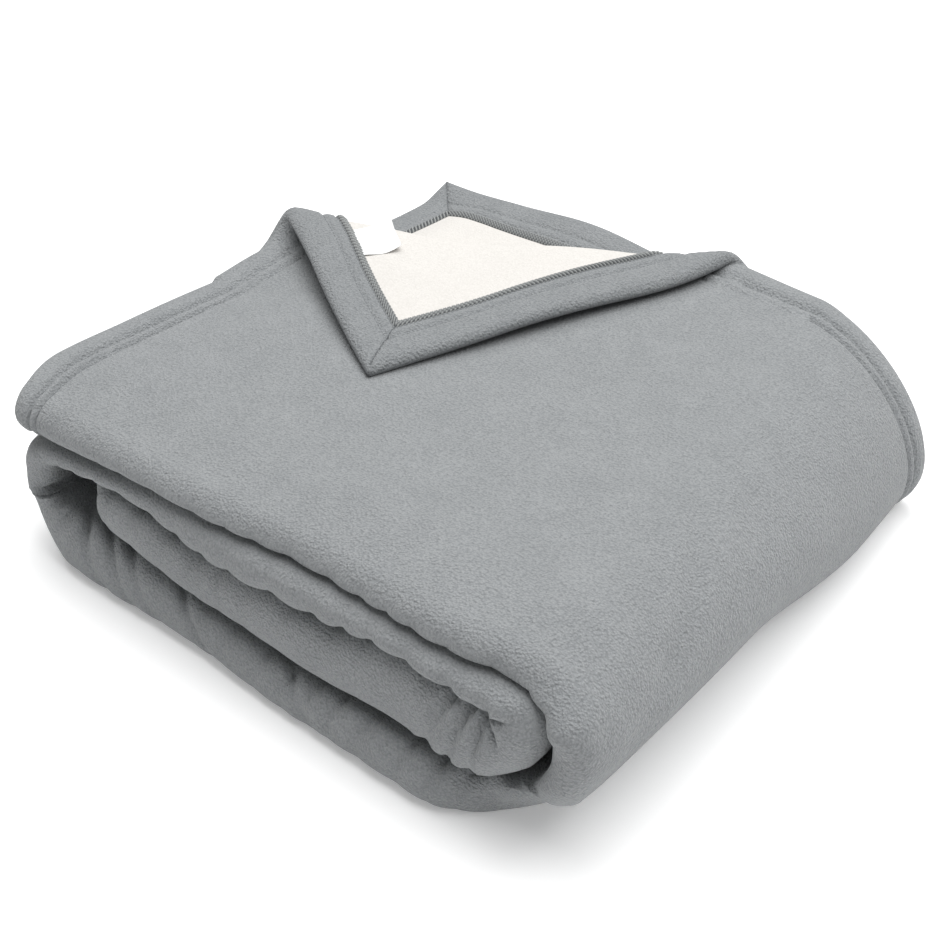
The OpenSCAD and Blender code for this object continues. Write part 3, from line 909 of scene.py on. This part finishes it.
def bandDepth(e):
    # how far the band's outer side stands below the cloth's middle: a quarter ellipse at the nose, then nearly
    # flat, with its two grooves; past the overlocked edge it is the cloth's own reverse
    nose = np.sqrt(np.clip(1 - ((band["noseWidth"] - e) / (band["noseWidth"] - band["nose"])) ** 2, 0, 1))
    base, added = band["depth"]
    thinner, start, stop = band["thinning"]
    depth = np.where(e < band["noseWidth"], nose, 1) * (added - thinner * smooth(start, stop, e))
    cut, width = band["groove"]
    groove = sum(np.exp(-((e - at) / width) ** 2) for at in hem["stitchLines"])
    return np.where(e < hem["width"] + band["past"], base + depth - cut * groove, half + 0.0008)


def bandSection():
    # section of the turned band: its outer side, with a groove at each stitch line, then its hidden side
    e = np.array([band["nose"], -0.0011, -0.0004, 0.001, 0.003, 0.006, 0.010, 0.014, 0.0166, 0.0180, 0.0190,
                  0.0200, 0.0215, 0.0235, 0.0252, 0.0262, 0.0270, 0.0277, 0.0282])
    outer = -bandDepth(e)
    outer[-1] = -half + 0.0004
    nose = np.sqrt(np.clip(1 - ((0.004 - e) / (0.004 - band["nose"])) ** 2, 0, 1))
    inner = np.where(e < 0.004, -band["depth"][0] + 0.0041 * nose, -half + 0.0006)
    inner[4] = 0.0024
    return np.concatenate([e, e[1:-1][::-1]]), np.concatenate([outer, inner[1:-1][::-1]])


def hemBand(name, edge, alongRows, startSlope=0.0, endSlope=0.0, pressedTo=-1.0):
    # the section carried along the edge; a slope moves an end along by that much of the distance from the edge.
    # Up to pressedTo along it the band is pressed thin between two plies
    e, h = bandSection()
    share = ((alongRows - alongRows[0]) / (alongRows[-1] - alongRows[0]))[:, None]
    start = alongRows[0] + startSlope * e
    end = alongRows[-1] + endSlope * e
    along = start + (end - start) * share
    s, v = edgeToCloth(edge, along, np.broadcast_to(e, along.shape))
    thin = -half - 0.0002
    h = np.where(h < thin, thin + (h - thin) * smooth(pressedTo - 0.015, pressedTo + 0.015, along), h)
    # the band takes the darker copy of the grey fleece, painted shade
    return manyTubes(name, [place(s, v, h)], shadedHemFleece)


overlock = {"pitch": 0.0030, "slant": 220, "thick": 0.0021, "ridge": 0.0007}


def overlockStrip(name, edge, start, end, startSlope=0.0, endSlope=0.0):
    # a ridged strip of thread over the band's raw edge: slanted loops as sine ridges along it
    outerE = hem["width"] + hem["overlock"] * np.array([-0.28, 0.0, 0.25, 0.5, 0.75, 0.97, 1.0])
    e = np.concatenate([outerE, outerE[1:-1][::-1]])
    crown = np.array([-0.1, 1.0, 1.15, 1.0, 0.75, 0.35, -0.1])
    share = np.linspace(0, 1, int(abs(end - start) / overlock["pitch"] * 6))[:, None]
    first = start + startSlope * e
    last = end + endSlope * e
    along = first + (last - first) * share
    ridge = np.sin(2 * math.pi * (along / overlock["pitch"] + e * overlock["slant"]))
    under = len(outerE) - 2
    h = np.concatenate([-half - overlock["thick"] * crown, np.full(under, -half + 0.0005)])
    h = h[None, :] - overlock["ridge"] * ridge * np.concatenate([crown > 0.3, np.zeros(under)])
    s, v = edgeToCloth(edge, along, np.broadcast_to(e, along.shape))
    strip = manyTubes(name, [place(s, v, h)], overlockThread)
    # the ridges are also kept on the strip as an attribute, which the thread's material turns into painted
    # shade between the loops
    loopShade = strip.data.attributes.new("loopShade", "FLOAT", "POINT")
    loopShade.data.foreach_set("value", (0.5 + 0.5 * ridge).ravel())
    return strip


thread = {"radius": 0.00042, "cornerRadius": 0.00036, "mitreRadius": 0.0005, "stitch": 0.0032, "sunk": 0.0001,
          "step": 0.0008}


def threadRun(name, paths, side=1, radius=thread["radius"], raised=0.0, material=seamThread):
    # a stitched line: a thin tube along (s, v) points whose thickness swells once a stitch and dips between
    angle = np.linspace(0, 2 * math.pi, 6, endpoint=False)
    rings = []
    for s, v in paths:
        e = edgeDistance(s, v)
        ground = (half + hemRelief(e) if side > 0 else bandDepth(e)) + raised
        stepS, stepV = np.gradient(s), np.gradient(v)
        size = np.maximum(np.hypot(stepS, stepV), 1e-9)
        acrossS, acrossV = -stepV / size, stepS / size
        walked = np.concatenate([[0], np.cumsum(np.hypot(np.diff(s), np.diff(v)))])
        swell = radius * np.abs(np.sin(math.pi * walked / thread["stitch"])) ** 0.4
        swell = swell * np.clip((walked[-1] - walked) / 0.001, 0.02, 1)
        h = (ground - thread["sunk"])[:, None] * side + side * np.sin(angle) * swell[:, None]
        ringS = s[:, None] + acrossS[:, None] * np.cos(angle) * swell[:, None]
        ringV = v[:, None] + acrossV[:, None] * np.cos(angle) * swell[:, None]
        rings.append(place(ringS, ringV, h))
    return manyTubes(name, rings, material)


def manyTubes(name, rings, material):
    # several ringed tubes in one mesh, each closed at its ends
    points, faces, count = [], [], 0
    for ring in rings:
        rows, columns = ring.shape[:2]
        index = count + np.arange(rows * columns).reshape(rows, columns)
        wide = np.concatenate([index, index[:, :1]], axis=1)
        sides = np.stack([wide[:-1, :-1], wide[1:, :-1], wide[1:, 1:], wide[:-1, 1:]], axis=-1)
        faces += sides.reshape(-1, 4).tolist()
        faces.append(index[0].tolist())
        faces.append(index[-1][::-1].tolist())
        points.append(ring.reshape(-1, 3))
        count += rows * columns
    mesh = bpy.data.meshes.new(name)
    mesh.from_pydata(np.concatenate(points), [], faces)
    mesh.materials.append(material)
    faceOutward(mesh)
    mesh.polygons.foreach_set("use_smooth", np.ones(len(mesh.polygons), bool))
    return linked(name, mesh)


creaseLeftV = corner["leftLength"]
creaseBackS = corner["leftLength"] / seamTilt
cornerLeftRows = samples((0.0, creaseLeftV - 0.045, 0.004), (creaseLeftV - 0.045, creaseLeftV, 0.0018))
cornerBackRows = samples((0.0, creaseBackS - 0.07, 0.004), (creaseBackS - 0.07, creaseBackS, 0.0025))
topLeftRows = np.concatenate([samples((creaseLeftV, joinAt, 0.0035)), acrossTop[acrossTop > joinAt + 0.001],
                              [clothWidth]])
topBackRows = samples((creaseBackS, spineMark, 0.004))
topSecondRows = samples((0.0, spineMark, 0.005))
windingRows = samples((spineMark, bottomMark, 0.005), (bottomMark, leftMark, 0.012),
                      (leftMark, secondMark, 0.004), (secondMark, innerRightMark, 0.012),
                      (innerRightMark, thirdMark, 0.003),
                      (thirdMark, innerLeftMark, 0.012), (innerLeftMark, fourthMark, 0.003),
                      (fourthMark, clothLength, 0.012))
endRows = samples((0.0, frontMark, 0.012), (frontMark, fourthPlyMark, 0.003), (fourthPlyMark, backMark, 0.012),
                  (backMark, thirdPlyMark, 0.002), (thirdPlyMark, innerMark, 0.012),
                  (innerMark, secondPlyMark, 0.002), (secondPlyMark, clothWidth, 0.012))

cornerLeftBand = hemBand("corner_left_band", "left", cornerLeftRows, 1.0, -seamTilt)
cornerBackBand = hemBand("corner_back_band", "back", cornerBackRows, 1.0, -1 / seamTilt)
cornerLeftLock = overlockStrip("corner_left_overlock", "left", 0.0, creaseLeftV, 1.0, -seamTilt)
cornerBackLock = overlockStrip("corner_back_overlock", "back", 0.0, creaseBackS, 1.0, -1 / seamTilt)
topLeftBand = hemBand("top_left_band", "left", topLeftRows, -seamTilt, -1.0, pressedTo=clothWidth - 0.20)
topBackBand = hemBand("top_back_band", "back", topBackRows, -1 / seamTilt, 0.0)
secondBackBand = hemBand("second_back_band", "second", topSecondRows, 1.0, 0.0)
secondLeftLock = overlockStrip("second_left_overlock", "left", clothWidth - 0.3, clothWidth, 0.0, -1.0)
secondBackLock = overlockStrip("second_back_overlock", "second", 0.0, spineMark, 1.0, 0.0)
windingBackBand = hemBand("winding_back_band", "back", windingRows, 0.0, -1.0)
windingSecondBand = hemBand("winding_second_band", "second", windingRows, 0.0, -1.0)
endBand = hemBand("inner_end_band", "end", endRows, 1.0, -1.0)
print("hems made")

# stitch lines on the fleece face, where the top ply shows them, and the mitred seams at two corners
cornerRuns, topRuns, windingRuns = [], [], []
for inset in hem["stitchLines"]:
    stop = creaseLeftV - inset * seamTilt
    rows = np.arange(stop, fourthPlyMark + 0.02, thread["step"])
    topRuns.append((np.full(len(rows), inset), rows))
    stop = creaseBackS - inset / seamTilt
    rows = np.arange(stop, spineMark, thread["step"])
    topRuns.append((rows, np.full(len(rows), inset)))
    rows = np.arange(spineMark, bottomMark, thread["step"])
    windingRuns.append((rows, np.full(len(rows), inset)))
    rows = np.arange(inset, creaseLeftV - inset * seamTilt, thread["step"])
    cornerRuns.append((np.full(len(rows), inset), rows))
    rows = np.arange(inset, creaseBackS - inset / seamTilt, thread["step"])
    cornerRuns.append((rows, np.full(len(rows), inset)))
topStitches = threadRun("top_stitches", topRuns)
windingStitches = threadRun("winding_stitches", windingRuns)
cornerStitches = threadRun("corner_stitches", cornerRuns, side=-1, radius=thread["cornerRadius"])
diagonal = np.arange(0.001, hem["width"] + 0.004, 0.0006)
cornerMitre = threadRun("corner_mitre_thread", [(diagonal, diagonal)], side=-1, radius=thread["mitreRadius"])
secondMitre = threadRun("second_mitre_thread", [(diagonal, clothWidth - diagonal)], side=-1,
                        radius=thread["mitreRadius"])
print("stitching made")

# the care label: blank satin, sewn on inside the left band and curling up at its free end
label = {
    "place": 0.114,  # its middle, along the left edge
    "start": 0.0325,  # its sewn end, in from that edge
    "width": 0.028,
    "length": 0.026,
    "thick": 0.0003,
    "above": 0.0005,  # how far it lies over the cloth
    "curl": 0.007,
    "skew": 0.0015,
    "ripple": 0.0005,
}


def makeLabel():
    # across its width and along its length; the free end lifts on a parabola and twists slightly
    down, across = np.meshgrid(np.linspace(0, 1, 30), np.linspace(-0.5, 0.5, 24), indexing="ij")
    s = label["start"] + label["length"] * down
    v = label["place"] + label["width"] * across - label["skew"] * down
    lift = label["curl"] * np.clip((down - 0.35) / 0.65, 0, 1) ** 2 * (0.75 + 0.5 * across)
    ripple = label["ripple"] * np.sin(across * 9 + down * 5)
    ground = half + label["above"]
    top = place(s, v, -(ground + lift + ripple + label["thick"]))
    bottom = place(s, v, -(ground + lift + ripple))
    return sandwich("care_label_satin", top, bottom, [labelSatin, labelSatin])


careLabel = makeLabel()
halfWidth = label["width"] / 2
labelRow = np.linspace(label["place"] - halfWidth + 0.001, label["place"] + halfWidth - 0.001, 60)
labelSeam = np.full(60, label["start"] + 0.001)
labelThread = threadRun("label_thread", [(labelSeam, labelRow)], side=-1, raised=0.0002, material=labelSatin)
print("label made")


def joinTopFlap(piece):
    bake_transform(piece)


def joinCorner(piece):
    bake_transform(piece)


for piece in (outerWinding, innerWinding, windingBackBand, windingSecondBand, endBand, windingStitches):
    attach(piece, "bundle")
for piece in (topLayer, topLeftBand, topBackBand, secondBackBand, secondLeftLock, secondBackLock, topStitches,
              secondMitre):
    joinTopFlap(piece)
for piece in (turnedCornerPiece, cornerLeftBand, cornerBackBand, cornerLeftLock, cornerBackLock,
              cornerStitches):
    joinCorner(piece)
for piece in (cornerMitre, labelThread):
    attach(piece, "corner_flap")
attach(careLabel, "care_label")

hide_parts("bottom_layer", "left_fold", "spine_fold", "second_layer")
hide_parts("inner_right_fold", "third_layer", "inner_left_fold", "fourth_layer")
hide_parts("inner_end_hem")
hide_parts("spine_topstitch")
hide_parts("top_layer_bend", "fourth_ply", "third_ply", "back_fold", "outer_front_fold",
            "inner_front_fold", "second_ply_fleece", "second_ply_reverse", "top_ply_fleece", "top_ply_reverse")
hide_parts("top_ply_left_hem", "second_ply_left_hem")
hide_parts("top_ply_back_hem")
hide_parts("second_ply_back_hem")
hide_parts("second_ply_overlock")
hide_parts("second_ply_mitre_seam")
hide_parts("top_ply_topstitch", "second_ply_topstitch")
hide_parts("crease_fleece", "crease_reverse", "corner_fleece", "corner_reverse")
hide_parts("corner_left_hem")
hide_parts("corner_back_hem")
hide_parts("corner_overlock")
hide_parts("corner_mitre_seam")
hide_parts("corner_topstitch")
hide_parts("label_stitching")
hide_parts("care_label")
